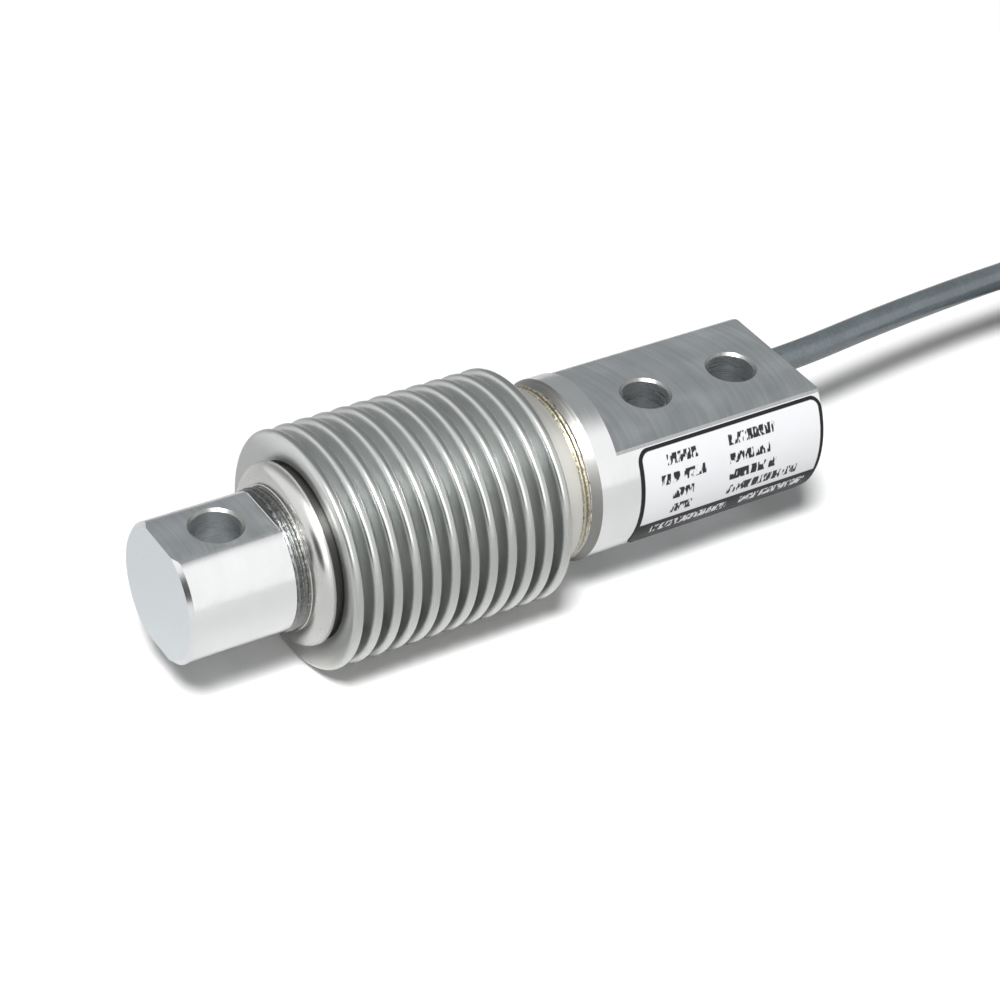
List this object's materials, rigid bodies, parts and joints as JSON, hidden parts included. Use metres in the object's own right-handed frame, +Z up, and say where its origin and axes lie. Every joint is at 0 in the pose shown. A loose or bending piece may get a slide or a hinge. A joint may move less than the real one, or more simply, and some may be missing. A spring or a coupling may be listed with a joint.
{
  "type": "bending beam load cell",
  "caption": "Stainless bending beam load cell: a flat-sided stub and mounting block joined by a welded bellows, with vertical bolt holes and a hanked cable.",
  "frame": {"origin": "midway between the two mounting holes, on the lower mounting flat", "axes": "+X along the beam from the load end towards the cable end, +Z up along the holes and the load, +Y towards the side without the label"},
  "size_m": [0.3073, 0.0571, 0.0402],
  "materials": {
    "beam_steel": "milled flats and turned rounds",
    "ring_steel": "turned, polished",
    "bellows_steel": "satin, hydroformed",
    "weld_metal": "weld bead, lightly tinted",
    "gauge_foil": "foil on a thin carrier",
    "terminal_board": "laminate with tinned pads",
    "circuit_board": "laminate",
    "resistor_body": "chip",
    "potting": "cast resin",
    "seal_rubber": "moulded",
    "label_film": "printed film",
    "cable_jacket": "smooth jacket",
    "tie_plastic": "moulded",
    "sleeve_plastic": "heat-shrunk",
    "lead_red": "insulation",
    "lead_white": "insulation",
    "lead_green": "insulation",
    "lead_black": "insulation"
  },
  "bodies": {
    "root": {"beam": "beam_steel", "end_ring": "ring_steel", "bellows": "bellows_steel", "load_end_weld": "weld_metal", "mounting_end_weld": "weld_metal", "strain_gauge_top_load_side": "gauge_foil", "strain_gauge_top_mounting_side": "gauge_foil", "strain_gauge_bottom_load_side": "gauge_foil", "strain_gauge_bottom_mounting_side": "gauge_foil", "terminal_top": "terminal_board", "terminal_bottom": "terminal_board", "compensation_board": "circuit_board", "trim_resistors": "resistor_body", "lead_wire_1": "lead_red", "lead_wire_2": "lead_white", "lead_wire_3": "lead_green", "lead_wire_4": "lead_black", "potting_plug": "potting", "cable_seal": "seal_rubber", "label": "label_film", "cable": "cable_jacket", "cable_hank": "cable_jacket", "hank_tie_1": "tie_plastic", "hank_tie_2": "tie_plastic", "end_sleeve": "sleeve_plastic", "conductor_red": "lead_red", "conductor_white": "lead_white", "conductor_green": "lead_green", "conductor_black": "lead_black"}
  },
  "joints": []
}
